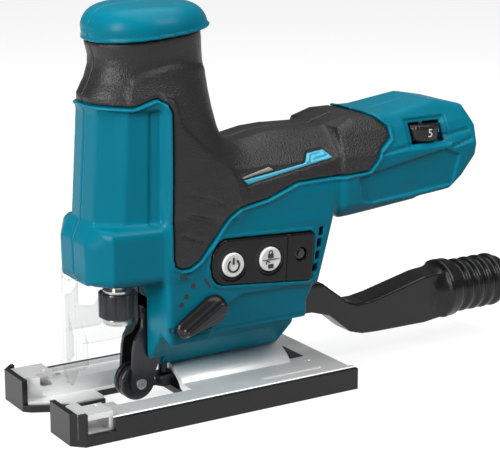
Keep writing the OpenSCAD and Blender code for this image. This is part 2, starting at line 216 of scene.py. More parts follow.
def finish_material(
    name,
    colour,
    roughness,
    metallic=0.0,
    grain=900.0,
    bump=0.05,
    stretch=(1, 1, 1),
    mottle=0.08,
    edge=0.0,
    alpha=1.0,
    specular=0.5,
):
    """A moulded or metal finish: fine grain in bump and roughness, and a slow drift in colour.

    edge lightens the convex edges as a painted highlight, and an alpha below 1 makes the flat areas clearer
    than the edges.
    """
    material = bpy.data.materials.new(name)
    material.use_nodes = True
    tree = material.node_tree
    shader = tree.nodes["Principled BSDF"]
    shader.inputs["Metallic"].default_value = metallic
    shader.inputs["Specular IOR Level"].default_value = specular

    place = tree.nodes.new("ShaderNodeTexCoord")
    scaled = tree.nodes.new("ShaderNodeMapping")
    scaled.inputs["Scale"].default_value = stretch
    tree.links.new(place.outputs["Object"], scaled.inputs["Vector"])

    def noise(scale, detail):
        texture = tree.nodes.new("ShaderNodeTexNoise")
        texture.inputs["Scale"].default_value = scale
        texture.inputs["Detail"].default_value = detail
        tree.links.new(scaled.outputs["Vector"], texture.inputs["Vector"])
        return texture.outputs["Fac"]

    def along_edges(low, high):
        """A value that rises from low on flat areas to high on convex edges."""
        geometry = tree.nodes.new("ShaderNodeNewGeometry")
        rise = tree.nodes.new("ShaderNodeMapRange")
        rise.inputs["From Min"].default_value = EDGE_START
        rise.inputs["From Max"].default_value = EDGE_FULL
        rise.inputs["To Min"].default_value = low
        rise.inputs["To Max"].default_value = high
        tree.links.new(geometry.outputs["Pointiness"], rise.inputs["Value"])
        return rise.outputs["Result"]

    fine = noise(grain, 2)
    slow = noise(DRIFT_SCALE, 3)

    shades = tree.nodes.new("ShaderNodeValToRGB")
    shades.color_ramp.elements[0].position = 0.3
    shades.color_ramp.elements[1].position = 0.7
    shades.color_ramp.elements[0].color = (*[c * (1 - mottle) for c in colour[:3]], 1)
    shades.color_ramp.elements[1].color = (*[min(c * (1 + mottle), 1) for c in colour[:3]], 1)
    tree.links.new(slow, shades.inputs["Fac"])
    base = shades.outputs["Color"]
    # Painted highlight: on convex edges the base colour is mixed towards a much lighter tint.
    if edge:
        painted_edge_highlight = tree.nodes.new("ShaderNodeMixRGB")
        painted_edge_highlight.inputs["Color2"].default_value = (*[min(c * 2.2 + 0.05, 1) for c in colour[:3]], 1)
        tree.links.new(along_edges(0, edge), painted_edge_highlight.inputs["Fac"])
        tree.links.new(base, painted_edge_highlight.inputs["Color1"])
        base = painted_edge_highlight.outputs["Color"]
    tree.links.new(base, shader.inputs["Base Color"])
    if alpha < 1:
        tree.links.new(along_edges(alpha, 6 * alpha), shader.inputs["Alpha"])

    rough = tree.nodes.new("ShaderNodeMapRange")
    rough.inputs["To Min"].default_value = max(roughness - ROUGHNESS_SPREAD, 0.02)
    rough.inputs["To Max"].default_value = min(roughness + ROUGHNESS_SPREAD, 1)
    tree.links.new(fine, rough.inputs["Value"])
    tree.links.new(rough.outputs["Result"], shader.inputs["Roughness"])

    relief = tree.nodes.new("ShaderNodeBump")
    relief.inputs["Strength"].default_value = bump
    relief.inputs["Distance"].default_value = GRAIN_HEIGHT
    tree.links.new(fine, relief.inputs["Height"])
    tree.links.new(relief.outputs["Normal"], shader.inputs["Normal"])
    return material


# The teal's edge=0.35 paints a highlight along its convex edges.
TEAL = finish_material(
    "teal_plastic", srgb(0, 112, 134), 0.32, grain=1500, bump=0.07, mottle=0.03, edge=0.35, specular=0.1
)
RUBBER = finish_material(
    "grip_rubber", srgb(34, 32, 32), 0.42, grain=1200, bump=0.8, mottle=0.2, specular=0.36
)
BLACK = finish_material(
    "black_plastic", srgb(19, 19, 20), 0.3, grain=1600, bump=0.1, mottle=0.08, specular=0.36
)
BLACK_SHINY = finish_material("black_gloss", srgb(16, 16, 17), 0.22, grain=1400, bump=0.03, specular=0.22)
WHITE = finish_material("white_plastic", srgb(238, 238, 236), 0.35, grain=1500, bump=0.04, mottle=0.02)
INK = finish_material("dark_print", srgb(18, 22, 26), 0.5, grain=1500, bump=0.03)
CLEAR = finish_material(
    "clear_plastic", srgb(104, 109, 112), 0.1, grain=300, bump=0.01, mottle=0.01, alpha=0.1, specular=0.6
)
GREEN = finish_material("board_green", srgb(20, 92, 52), 0.4)
CAST = finish_material(
    "cast_aluminium", srgb(236, 236, 235), 0.42, metallic=0.55, grain=1300, bump=0.16,
    stretch=(0.4, 1, 1), mottle=0.05,
)
STEEL = finish_material("plated_steel", srgb(214, 214, 212), 0.22, metallic=1.0, grain=1200, bump=0.04)
DARK_STEEL = finish_material("dark_steel", srgb(66, 66, 68), 0.34, metallic=0.9, grain=900, bump=0.08)
CAST_GREY = finish_material("cast_grey", srgb(128, 128, 130), 0.45, metallic=0.9, grain=700, bump=0.12)
TEAL_LIGHT = finish_material("teal_inlay", srgb(58, 168, 196), 0.35, grain=1500, bump=0.05, mottle=0.03)
GREY_INLAY = finish_material("grey_inlay", srgb(150, 145, 140), 0.5, grain=1500, bump=0.1)
BRASS = finish_material("brass", srgb(196, 158, 82), 0.3, metallic=1.0, grain=900, bump=0.05)

SLOT_MATERIALS = {
    "teal_plastic": TEAL,
    "grip_rubber": RUBBER,
    "black_plastic": BLACK,
    "white_plastic": WHITE,
    "clear_plastic": CLEAR,
    "board_green": GREEN,
    "cast_aluminium": CAST,
    "plated_steel": STEEL,
    "dark_steel": DARK_STEEL,
    "cast_grey": CAST_GREY,
    "brass": BRASS,
}


# ---------------------------------------------------------------- body shape

COLUMN_PLAN = [(49.9, 0), (49, 10.3), (38.4, 19.4), (28.6, 21.5), (27.6, 20.9), (22.8, 22.3), (20.8, 26.3),
               (18, 26.8), (-14, 26.8), (-14, -26.8), (18, -26.8), (20.8, -26.3), (22.8, -22.3),
               (27.6, -20.9), (28.6, -21.5), (38.4, -19.4), (49, -10.3)]
COLUMN_SIDE = [(-14, 62), (60, 62), (60, 140.4), (47, 137.6), (30, 138), (21, 141), (17, 140), (14, 128),
               (4, 118), (-10, 108), (-14, 100)]
COLUMN_LEAN = 0.067
NOSE_SIDE = [(10, 60.5), (54.2, 60.5), (55, 79), (49.8, 86.3), (10, 86.3)]
NOSE_PLAN = [(55, -12), (55, 12), (46, 23.5), (30, 25.5), (18, 27), (10, 27), (10, -27), (18, -27),
             (30, -25.5), (46, -23.5)]
LOWER_SIDE = [(-49, 15.6), (22, 15.6), (22, 100), (-66, 100), (-63.5, 78), (-61, 69.3), (-57.3, 56.7),
              (-54.2, 46.8), (-51.6, 42.5), (-51.6, 34)]
LOWER_SECTION = [(2.2, 15.6), (19.8, 35.4), (21.5, 34.6), (27, 33), (27.6, 50), (27, 80), (23, 100),
                 (-23, 100), (-27, 80), (-27.6, 50), (-27, 33), (-21.5, 34.6), (-19.8, 35.4), (-2.2, 15.6)]
BARREL_SIDE = [(-110, 82), (-63.5, 78), (-10, 70), (0, 70), (0, 112), (-20, 115.5), (-36, 119.7),
               (-46, 120.5), (-68, 119.4), (-80, 122.5), (-110, 122.5)]
BARREL_SECTION = [(-25, 70), (25, 70), (26, 92), (23.5, 106), (11, 121), (-11, 121), (-23.5, 106), (-26, 92)]
REAR_SIDE = [(-70, 77.7), (-70, 118.5), (-79, 122), (-101, 122), (-126, 126), (-143, 122.5), (-147, 113),
             (-145, 99.5), (-137, 90), (-130, 84.7), (-100, 81.2), (-75, 77.7)]
REAR_SECTION = [(-21, 77), (21, 77), (27, 84), (27, 105), (22, 116), (15, 127), (-15, 127), (-22, 116),
                (-27, 105), (-27, 84)]
GRIP_OUTLINE = [(60, 140.4), (47, 137.6), (34, 137.2), (27, 139.8), (24, 140.6), (20.6, 138.5), (18.6, 134.5),
                (18.6, 129.8), (19.3, 72), (18.6, 68), (15.5, 66.3), (11.2, 66.2), (6.3, 68.6), (-1.3, 77.4),
                (-8.9, 86.5), (-13.9, 89.2), (-29.3, 91.7), (-45, 97), (-69.2, 97.5), (-83, 98.2), (-87, 102),
                (-90.6, 107.6), (-96.7, 111.6), (-96.5, 117), (-93.6, 119.3), (-82.3, 130), (-30, 130),
                (-14, 169.2), (60, 161.8)]
PANEL_OUTLINE = [(-1.6, 58.0), (0.5, 61.2), (1.1, 66), (0.2, 71), (-2.4, 75.2), (-5.7, 77), (-51.2, 74.6),
                 (-52.5, 73.2), (-51.4, 53.4), (-50, 52.3), (-4.6, 56.7)]
REAR_BADGE = [(-77, 96), (-127, 104), (-135, 100.5), (-131, 87), (-84.5, 83.6), (-79, 85)]
NECK_BULGE = [(34.5, 137), (35.1, 143), (32.3, 148), (27.3, 150.4), (15.2, 153), (3.3, 152), (-12, 149),
              (-60, 140), (-60, 60), (60, 60), (60, 136)]
INLAY = [(-17.2, 101.3), (-19.4, 99.0), (-47, 103.2), (-65.6, 106.0), (-61.6, 109.8), (-52.7, 109.0),
         (-50, 105.4), (-33.5, 103.2)]
INLAY_GROOVE = [(-62.5, 107.2), (-52.8, 105.9), (-54.5, 108.0), (-60, 108.6)]
WEDGE = [(-16.0, 102.6), (-31.2, 105.8), (-34.1, 103.9), (-17.4, 101.6)]
LOWER_RECESS = [(-64, 28), (4, 28), (0, 38), (-4.5, 45.5), (-14.5, 51), (-64, 50.4)]
SCREWS = [(12, 132), (24, 160), (-45, 108), (-76, 108), (-44, 39.5), (13, 52.5)]
SCREW_POST_R = 3.6
SCREW_HEAD_R = 3.1
VENTS = (57.4, 62.9, 68.4, 73.8)
GRIP_RIM_HEIGHT = 0.7
BADGE_DEPTH = 1.3
BAND_DEPTH = 0.7
BEZEL_DEPTH = 0.9
PANEL_RIM_HEIGHT = 0.5
LOWER_RECESS_DEPTH = 1.3
FOLD_Z = 36.4
FOLD_DEPTH = 0.3
CREASE_DEPTH = 0.55
INLAY_POCKET = 0.45
NECK_STEP = 0.9
COLUMN_TOP = 135.5
MOTOR_Z = 64
BLADE_X = 32.5
SLEEVE_BORE = 9.6  # room round the blade clamp's sleeve
CAVITY_TOP = 68.3  # ceiling of the nose, above the sleeve's highest place
ARCH_R = 15.5

# Neck of the knob by height: front, back and half-width of its round section.
NECK = np.array([
    (90, 44, -24, 26.8), (104, 44, -22, 26.9), (116.7, 45.2, -16.5, 26.9), (125, 45.6, -13.2, 26.2),
    (133.4, 47, -11, 25.2), (141, 47.8, -9.6, 23.8), (147, 44.2, -8.8, 22.2), (153, 42.2, -8.1, 21.2),
    (157, 41.9, -7.6, 21), (161, 42.9, -7.0, 21.4), (167, 44.4, -6.2, 22.4),
])
CAP_TOP = 178.5
CAP_BOTTOM = 166.1
CAP_SLOPE = 0.1  # the cap's lower edge rises towards the back
CAP_CENTRE = 17.5
CAP_HALF_LENGTH = 26.8
CAP_HALF_WIDTH = 26.4


def oval(x, y, centre, half_length, half_width, power):
    """Field of a squarish oval; the half sizes may vary with height."""
    size = (np.abs((x - centre) / half_length) ** power + np.abs(y / half_width) ** power) ** (1 / power)
    return (size - 1) * np.minimum(half_length, half_width)


def knob_neck(x, y, z):
    heights = np.ravel(z)
    front, back, half = (np.interp(heights, NECK[:, 0], NECK[:, i])[None, None, :] for i in (1, 2, 3))
    round_part = oval(x, y, (front + back) / 2, (front - back) / 2, half, 2.3)
    past_bulge = outline(x, z, NECK_BULGE)
    hollow = step_up(past_bulge, -1.0, 2.0) * step_up(-past_bulge, -13, -2) * step_up(np.abs(y), 5, 13)
    return np.maximum(round_part + NECK_STEP * hollow, np.maximum(90 - z, z - 168))


def knob_cap(x, y, z):
    swell = 1.2 * step_up(z, 163, 171)
    lip = oval(x, y, CAP_CENTRE, CAP_HALF_LENGTH - 1 + swell, CAP_HALF_WIDTH - 1 + swell, 2.2)
    dome = z - CAP_TOP - 0.9 + 0.0026 * ((x - CAP_CENTRE + 3) ** 2 + y**2)
    return smooth_max(smooth_max(lip, dome, 11), CAP_BOTTOM - CAP_SLOPE * (x - CAP_CENTRE) - z, 1.6)


def teal_column(x, y, z):
    lean = COLUMN_LEAN * (z - 86) * np.clip((x - 20) / 20, 0, 1)
    return smooth_max(outline(x + lean, y, COLUMN_PLAN), outline(x, z, COLUMN_SIDE), 1.2)


def body_field(x, y, z):
    """The outside of the whole body, before grips, openings and surface detail."""
    nose = smooth_max(outline(x, z, NOSE_SIDE), outline(x, y, NOSE_PLAN), 5)
    lower = smooth_max(outline(x, z, LOWER_SIDE), outline(y, z, LOWER_SECTION), 2)
    barrel = smooth_max(outline(x, z, BARREL_SIDE), outline(y, z, BARREL_SECTION), 7)
    rear = smooth_max(outline(x, z, REAR_SIDE), outline(y, z, REAR_SECTION), 2.5)
    neck = smooth_max(knob_neck(x, y, z), -np.maximum(19 - x, z - COLUMN_TOP), 3)
    column = teal_column(x, y, z)
    front = smooth_min(column, nose, 2.5)
    handle = smooth_min(neck, barrel, 9)
    handle = smooth_min(handle, rear, 4)
    trunk = smooth_min(front, lower, 1.5)
    return np.minimum(smooth_min(handle, trunk, 2.5), knob_cap(x, y, z))


def surface_y(x, z):
    """How far out the body's left surface is at a point of the side view."""
    inner, outer = 10.0, 40.0
    for _ in range(20):
        middle = (inner + outer) / 2
        at = [np.full((1, 1, 1), value) for value in (x, middle, z)]
        if float(body_field(*at)[0, 0, 0]) < 0:
            inner = middle
        else:
            outer = middle
    return inner


def supports(x, y, z):
    """Bearing seats, bush shelves, the battery bay's walls and screw posts inside the shell."""
    parts = [
        box(x, y, z, (-44, -50, 50), (-39, 50, 85)),
        box(x, y, z, (-2, -50, 52), (3, 50, 84)),
        box(x, y, z, (20, -50, 67.3), (26.5, 50, 72.8)),
        box(x, y, z, (20, -9.3, 67.3), (49, 9.3, 72.8)),
        box(x, y, z, (20, -50, 106), (48, 50, 114)),
        box(x, y, z, (-86, -50, 84), (-82, 50, 119)),
        box(x, y, z, (-150, -20.3, 80), (-86, 20.3, 107.6)),
        box(x, y, z, (-150, -20.3, 80), (-128, 20.3, 122)),
        box(x, y, z, (-129.2, -20.3, 106), (-127.6, 20.3, 122)),
        box(x, y, z, (7.5, -9, 15.5), (13.2, 9, 40)),
    ]
    parts += [round_bar(x, z, y, spot, SCREW_POST_R, -40, 40) for spot in SCREWS]
    field = parts[0]
    for part in parts[1:]:
        field = np.minimum(field, part)
    return field


def openings(x, y, z, side):
    """Everything cut out of one half; y is measured outwards from the middle plane."""
    cuts = [
        np.maximum(np.sqrt(y**2 + z**2) - ARCH_R - 0.3, np.maximum(-60 - x, x - 7.8)),
        round_bar(y, z, x, (0, MOTOR_Z), 8, -44, 3),
        round_bar(y, z, x, (0, MOTOR_Z), 17, -36, -10),
        round_bar(x, y, z, (BLADE_X, 0), 7, 67.3, 114),
        box(x, y, z, (BLADE_X - 12, -14.9, 72.8), (BLADE_X + 4, 14.9, 106)),
        round_bar(x, y, z, (BLADE_X, 0), SLEEVE_BORE, 40, CAVITY_TOP),
        box(x, y, z, (24, -20, 48), (43.5, 20, CAVITY_TOP)),
        box(x, y, z, (24, -13, 48), (51.4, 13, CAVITY_TOP)),
        box(x, y, z, (13.3, -6.9, 10), (30, 6.9, 50)),
        box(x, y, z, (-2, -6.7, 38), (14, 6.7, 50)),
        box(x, y, z, (-160, -18.5, 86), (-129, 18.5, 118)),
        box(x, y, z, (-130, -18.5, 86), (-86, 18.5, 106)),
        box(x, y, z, (-88, -13, 87), (-80, 13, 104)),
        box(x, y, z, (-60, -7.6, 28.7), (-46, 7.6, 42.5)),
    ]
    for level in VENTS:
        vent_x = -56.8 + 0.22 * (VENTS[-1] - level)
        slot = smooth_max(np.abs(x - vent_x - 0.15 * (level - z)) - 1.1, np.abs(z - level) - 2.0, 0.5)
        cuts.append(np.maximum(slot, 22 - y))
    if side > 0:
        window = np.maximum(np.abs(x + 118) - 8, np.abs(z - 112.2) - 3.6) - 1.0
        cuts += [
            np.maximum(window, 10 - y),
            np.maximum(outline(x, z, PANEL_OUTLINE) - 0.15, 24.9 - y),
            box(x, y, z, (-47, 19, 55), (-2, 25, 75)),
            round_bar(x, z, y, (2.5, 46), 4.05, 0, 40),
        ]
    else:
        cuts += [round_bar(x, z, y, spot, SCREW_HEAD_R, 20, 40) for spot in SCREWS]
    field = cuts[0]
    for cut in cuts[1:]:
        field = np.minimum(field, cut)
    return field


def surface_detail(x, y, z, side):
    """Depth, in millimetres, that the teal surface is lowered (positive) or raised (negative)."""
    outside = step_up(y, 12, 16)
    grip = outline(x, z, GRIP_OUTLINE)
    rim = -GRIP_RIM_HEIGHT * step_up(-np.abs(grip - 0.8), -0.9, -0.45)
    badge = outline(x, z, REAR_BADGE)
    depth = rim + BADGE_DEPTH * step_up(-badge, -0.5, 0.5) * outside
    band = stroke(x, z, [(-131, 104.7), (-142, 107.3)])
    depth = depth + BAND_DEPTH * step_up(-band, -1.1, -0.4) * outside
    tread = stroke(x, z, [(-90, 105.4), (-141.5, 111.6)])
    depth = depth + BAND_DEPTH * step_up(-tread, -1.1, -0.4) * outside
    if side > 0:
        bezel = np.maximum(np.abs(x + 118) - 10.5, np.abs(z - 112.5) - 5.2) - 1
        depth = depth + BEZEL_DEPTH * step_up(-bezel, -0.6, 0.4) * outside
        panel = outline(x, z, PANEL_OUTLINE)
        depth = depth - PANEL_RIM_HEIGHT * step_up(-np.abs(panel - 1.0), -1.1, -0.6) * outside
    below_panel = outline(x, z, LOWER_RECESS)
    depth = depth + LOWER_RECESS_DEPTH * step_up(-below_panel, -0.6, 1.6) * outside
    fold = step_up(-np.abs(z - FOLD_Z), -0.7, -0.3) * step_up(y, 20, 24)
    return depth + FOLD_DEPTH * fold * step_up(20 - x, 0, 1)


def housing_pieces():
    low = (-151, -2.4, 13)
    high = (59, 30.4, 181)
    x, y, z = grid(low, high, SHELL_STEP)
    outer = body_field(x, y, z)
    solid_inside = supports(x, y, z)
    grip_plan = outline(x, z, GRIP_OUTLINE)
    creases = np.minimum(
        np.minimum(stroke(x, z, [(9.5, 98.7), (-4.9, 93.1)]), stroke(x, z, [(12.1, 89.8), (-1.4, 84.9)])),
        stroke(x, z, [(14.4, 81.4), (3.9, 77.3)]),
    )
    crease = CREASE_DEPTH * step_up(-creases, -1.3, -0.1) * step_up(y, 10, 16)
    inlay = np.minimum(outline(x, z, INLAY), outline(x, z, WEDGE))
    recess = INLAY_POCKET * step_up(-inlay, -1.0, -0.3) * step_up(y, 10, 14)
    for side, name in ((1, "left"), (-1, "right")):
        cuts = openings(x, y, z, side)
        seam = 0.12 - y
        skin = outer + surface_detail(x, y, z, side)
        grip_space = np.maximum(grip_plan - 0.1, -(outer + GRIP_DEPTH))
        shell = smooth_max(skin, -grip_space, 0.8)
        shell = np.maximum(shell, -np.maximum(outer + WALL, -solid_inside))
        shell = smooth_max(shell, -cuts, 0.8)
        shell = smooth_max(shell, seam, 0.7)
        piece = sculpt(f"housing_shell_{name}", shell, low, SHELL_STEP, TEAL, side < 0)
        place(piece, "housing", "teal_plastic", f"housing_{name}")
        rubber = smooth_max(outer + crease + recess, grip_plan + 0.25, 1.6)
        rubber = np.maximum(rubber, -(outer + GRIP_DEPTH - 0.05))
        rubber = smooth_max(rubber, -cuts, 0.6)
        rubber = smooth_max(rubber, seam, 0.7)
        piece = sculpt(f"grip_rubber_{name}", rubber, low, SHELL_STEP, RUBBER, side < 0)
        place(piece, "housing", "grip_rubber", f"grip_{name}")


def grip_inlays():
    """The raised teal stripe on each grip with the grey wedge above its front end."""
    low = (-68, 10, 96)
    step = 0.4
    x, y, z = grid(low, (-13, 29, 114), step)
    outer = body_field(x, y, z)
    stripe = outline(x, z, INLAY)
    wedge = np.maximum(outline(x, z, WEDGE), 0.35 - stripe)
    groove = 0.4 * step_up(-stroke(x, z, INLAY_GROOVE), -0.6, -0.25)
    for label, plan, lift, material, slot in (
        ("grip_inlay", stripe, groove - 0.2, TEAL_LIGHT, "teal_plastic"),
        ("grip_wedge", wedge, 0.05, GREY_INLAY, "cast_grey"),
    ):
        strip = np.maximum(smooth_max(outer + lift, plan + 0.1, 0.7), -(outer + 0.9))
        for side, name in ((1, "left"), (-1, "right")):
            piece = sculpt(f"{label}_{name}", strip, low, step, material, side < 0)
            place(piece, "housing", slot)


def place(piece, body, slot, *replaced):
    """The piece rides a body and stands for the CAD nodes given; slot is not used."""
    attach(piece, body)
    if replaced:
        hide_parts(*replaced)
    return piece


# ---------------------------------------------------------------- dust nozzle

DUCT_OUTLINE = [(-46, 42), (-46, 29.5), (-66, 28.6), (-76, 25.5), (-88, 15.6), (-95, 13.6), (-104, 13.2),
                (-132, 13), (-145, 14.5), (-145, 38), (-132, 36.8), (-118, 33.6), (-104, 30.4), (-96, 29.2),
                (-91, 29.2), (-86, 31.2), (-76, 38.8), (-72, 42)]
NOZZLE_Z = 27
NOZZLE_BORE = 10.5
DUCT_HALF_WIDTH = 7.3
FLANGE_R = 14.5
CUFF_R = 11.6
CUFF_RIB = 1.7
CUFF_RIB_PLACES = (-157, -163.5, -170, -176.5)


def dust_nozzle():
    low = (-185, -16, 10)
    x, y, z = grid(low, (-44, 16, 44.5), FINE_STEP)
    side = outline(x, z, DUCT_OUTLINE)
    around = np.sqrt(y**2 + (z - NOZZLE_Z) ** 2)
    duct = smooth_max(side, np.abs(y) - DUCT_HALF_WIDTH, 1.2)
    funnel_r = np.interp(np.ravel(x), [-144, -138], [13.5, 8])[:, None, None]
    funnel = np.maximum(around - funnel_r, np.maximum(-145 - x, x + 138))
    duct = smooth_min(duct, funnel, 3)
    flange = smooth_max(around - FLANGE_R, np.maximum(-151 - x, x + 144), 1.6)
    waves = sum(np.exp(-(((x - centre) / 1.9) ** 4)) for centre in CUFF_RIB_PLACES)
    cuff = smooth_max(around - CUFF_R - CUFF_RIB * waves, np.maximum(-182.2 - x, x + 150), 1.2)
    solid = np.minimum(smooth_min(duct, flange, 1.5), cuff)
    bore = np.maximum(around - NOZZLE_BORE, x + 148)
    throat = np.maximum(np.maximum(side + 2.2, np.abs(y) - 5), -148 - x)
    field = np.maximum(np.maximum(solid, -bore), -throat)
    piece = sculpt("dust_nozzle_body", field, low, FINE_STEP, BLACK)
    place(piece, "housing", "black_plastic", "dust_nozzle")


# ---------------------------------------------------------------- small sculpted controls


def tapered_capsule(x, z, a, b, radius_a, radius_b):
    """Field of a flat teardrop from a circle at a to a smaller one at b."""
    along = np.array(b) - np.array(a)
    t = np.clip(((x - a[0]) * along[0] + (z - a[1]) * along[1]) / (along @ along), 0, 1)
    centre_x = a[0] + t * along[0]
    centre_z = a[1] + t * along[1]
    return np.sqrt((x - centre_x) ** 2 + (z - centre_z) ** 2) - (radius_a + t * (radius_b - radius_a)), t


def orbital_lever():
    low = (-8, 27, 34)
    step = 0.35
    x, y, z = grid(low, (22, 37.2, 56), step)
    wide_end = (1.6, 46.6)
    narrow_end = (15.2, 40.4)
    plate, t = tapered_capsule(x, z, wide_end, narrow_end, 6.6, 4.0)
    base = smooth_max(plate, y - 31.6 + 0.9 * t, 2.4)
    fin, t = tapered_capsule(x, z, (-0.6, 48.6), (14.8, 39.6), 2.6, 1.2)
    ridge = smooth_max(fin - 0.25 * (35 - y), y - 35.9 + 1.2 * t, 1.0)
    field = np.maximum(smooth_min(base, ridge, 2.2), 28.05 - y)
    piece = sculpt("orbit_lever_knob", field, low, step, BLACK)
    place(piece, "orbit_selector", "black_plastic", "orbit_lever")


GUARD_FRONT = [(-2.6, 14.4), (2.6, 14.4), (7.6, 23), (8, 63), (6, 66), (3.5, 66), (3.5, 62), (-3.5, 62),
               (-3.5, 66), (-6, 66), (-8, 63), (-7.6, 23)]
GUARD_CHANNEL = [(51, 24.5), (53, 22.4), (57, 22.4), (57, 52), (55.6, 52), (51, 34)]
GUARD_CORNER = [(50, 10.3), (55.8, 6.4), (57.2, 8), (51.5, 11.7), (50, 11.7)]
GUARD_WING = [(30, 56), (44.5, 56), (49.3, 50), (49.5, 36.5), (37.5, 36.5), (33, 38), (30, 42)]


def blade_guard():
    """Clear guard: a rounded channel in front of the blade line with a wing on each side."""
    low = (26.5, -14, 12)
    step = 0.5
    x, y, z = grid(low, (59.5, 14, 68), step)
    front_plan = outline(y, z, GUARD_FRONT)
    front = smooth_max(front_plan, np.abs(x + 0.012 * y**2 - 56.6) - 0.8, 0.5)
    channel = np.maximum(np.abs(np.abs(y) - 7.2) - 0.8, np.maximum(outline(x, z, GUARD_CHANNEL), 50 - x))
    rib = np.maximum(np.abs(np.abs(y) - 3.2) - 0.6, np.maximum(np.abs(x - 57.2) - 0.6, np.abs(z - 44) - 19))
    corner = np.maximum(outline(x, np.abs(y), GUARD_CORNER), np.abs(z - 43.5) - 8.5)
    wing_plan = outline(x, z, GUARD_WING) - 1.5
    wing = smooth_max(wing_plan, np.abs(np.abs(y) - 11) - 0.7, 0.4)
    bead = smooth_max(np.abs(wing_plan + 0.6) - 0.6, np.abs(np.abs(y) - 11.1) - 0.95, 0.4)
    field = smooth_min(smooth_min(front, channel, 1), smooth_min(wing, corner, 1), 0.8)
    field = np.minimum(np.minimum(field, bead), rib)
    piece = sculpt("blade_guard_clear", field, low, step, CLEAR)
    place(piece, "guard", "clear_plastic", "blade_guard")


DIAL_CENTRE = (-118, 17.3)
DIAL_R = 9.0
DIAL_Z = 112.2


def speed_dial():
    low = (-129, 6, 107)
    step = 0.35
    x, y, z = grid(low, (-107, 28, 117.5), step)
    around = np.sqrt((x - DIAL_CENTRE[0]) ** 2 + (y - DIAL_CENTRE[1]) ** 2)
    turn = np.arctan2(y - DIAL_CENTRE[1], x - DIAL_CENTRE[0])
    number_lane = step_up(np.abs(z - DIAL_Z), 2.2, 2.6)
    knurl = 0.3 * (0.5 + 0.5 * np.cos(36 * turn)) * number_lane
    field = smooth_max(around - DIAL_R + knurl, np.maximum(108.4 - z, z - 116), 0.8)
    field = np.maximum(field, 1.55 - around)
    piece = sculpt("speed_dial_wheel", field, low, step, BLACK)
    place(piece, "dial", "black_plastic", "speed_dial")


# ---------------------------------------------------------------- flat details


def prism(name, rings, y0, y1, material, bevel=0.0):
    """A plate in the X-Z plane between y0 and y1, from one or more closed outlines."""
    bm = bmesh.new()
    for points in rings:
        bottom = [bm.verts.new((x * MM, y0 * MM, z * MM)) for x, z in points]
        top = [bm.verts.new((x * MM, y1 * MM, z * MM)) for x, z in points]
        bm.faces.new(bottom)
        bm.faces.new(top[::-1])
        for i, start in enumerate(bottom):
            j = (i + 1) % len(bottom)
            bm.faces.new((start, top[i], top[j], bottom[j]))
    bmesh.ops.recalc_face_normals(bm, faces=bm.faces)
    mesh = bpy.data.meshes.new(name)
    bm.to_mesh(mesh)
    bm.free()
    mesh.materials.append(material)
    obj = bpy.data.objects.new(name, mesh)
    bpy.context.scene.collection.objects.link(obj)
    if bevel:
        add_bevel(obj, bevel)
    return obj


def add_bevel(obj, width):
    modifier = obj.modifiers.new("edges", "BEVEL")
    modifier.width = width * MM
    modifier.segments = 2
    modifier.limit_method = "ANGLE"
    modifier.angle_limit = math.radians(35)
    modifier.harden_normals = False


def circle(cx, cz, r, count=32, start=0.0, turn=360.0):
    """Points round a circle, or along a part of it."""
    angles = [math.radians(start + turn * i / count) for i in range(count if turn == 360 else count + 1)]
    return [(cx + r * math.cos(angle), cz + r * math.sin(angle)) for angle in angles]


def arc_band(cx, cz, r, width, start, turn, count=28):
    """Closed outline of a curved band."""
    outer = circle(cx, cz, r + width / 2, count, start, turn)
    inner = circle(cx, cz, r - width / 2, count, start, turn)
    return outer + inner[::-1]


def bar(ax, az, bx, bz, width):
    """Outline of a straight bar from a to b."""
    length = math.hypot(bx - ax, bz - az)
    nx, nz = -(bz - az) / length * width / 2, (bx - ax) / length * width / 2
    return [(ax + nx, az + nz), (bx + nx, bz + nz), (bx - nx, bz - nz), (ax - nx, az - nz)]


START_X = -9.7
LOCK_X = -28.8
PANEL_SCREW = (-45.2, 65.2)
BUTTON_Z = 65.2
BUTTON_R = 5.5
BUTTON_FACE = 28.9


def padlock(cx, cz, is_open):
    """Outlines of a padlock symbol about 3 mm tall."""
    body = [(cx - 1.35, cz - 1.5), (cx + 1.35, cz - 1.5), (cx + 1.35, cz + 0.4), (cx - 1.35, cz + 0.4)]
    loop_x = cx + (1.5 if is_open else 0)
    shackle = arc_band(loop_x, cz + 1.1, 0.8, 0.36, 0, 180, 14)
    legs = [bar(loop_x + 0.8, cz + 0.5, loop_x + 0.8, cz + 1.1, 0.36)]
    if not is_open:
        legs.append(bar(loop_x - 0.8, cz + 0.3, loop_x - 0.8, cz + 1.1, 0.36))
    return [body, shackle, *legs]


def push_buttons():
    low = (-36, 23.4, 58)
    x, y, z = grid(low, (-2, 30, 72.5), 0.35)
    for name, node, body, centre in (
        ("start_button_cap", "start_button", "start_key", START_X),
        ("lock_button_cap", "lock_button", "lock_key", LOCK_X),
    ):
        around = np.sqrt((x - centre) ** 2 + (z - BUTTON_Z) ** 2)
        dish = BUTTON_FACE - 0.35 + 0.012 * around**2
        cap = smooth_max(around - BUTTON_R, y - np.minimum(dish, BUTTON_FACE), 0.9)
        cap = np.maximum(cap, 25.3 - y)
        stem = np.maximum(around - 2, np.maximum(23.9 - y, y - 26))
        piece = sculpt(name, np.minimum(cap, stem), low, 0.35, WHITE)
        place(piece, body, "white_plastic", node)
    face = BUTTON_FACE - 0.45
    power = [
        arc_band(START_X, BUTTON_Z - 0.2, 2.75, 0.8, 125, 290),
        bar(START_X, BUTTON_Z + 0.4, START_X, BUTTON_Z + 3.5, 0.8),
    ]
    place(prism("start_symbol", power, face, BUTTON_FACE, INK), "start_key", "black_plastic")
    locks = padlock(LOCK_X, BUTTON_Z + 2.1, False) + padlock(LOCK_X, BUTTON_Z - 2.6, True)
    locks.append(bar(LOCK_X - 4.3, BUTTON_Z - 0.1, LOCK_X + 4.3, BUTTON_Z - 0.1, 0.28))
    place(prism("lock_symbol", locks, face, BUTTON_FACE, INK), "lock_key", "black_plastic")


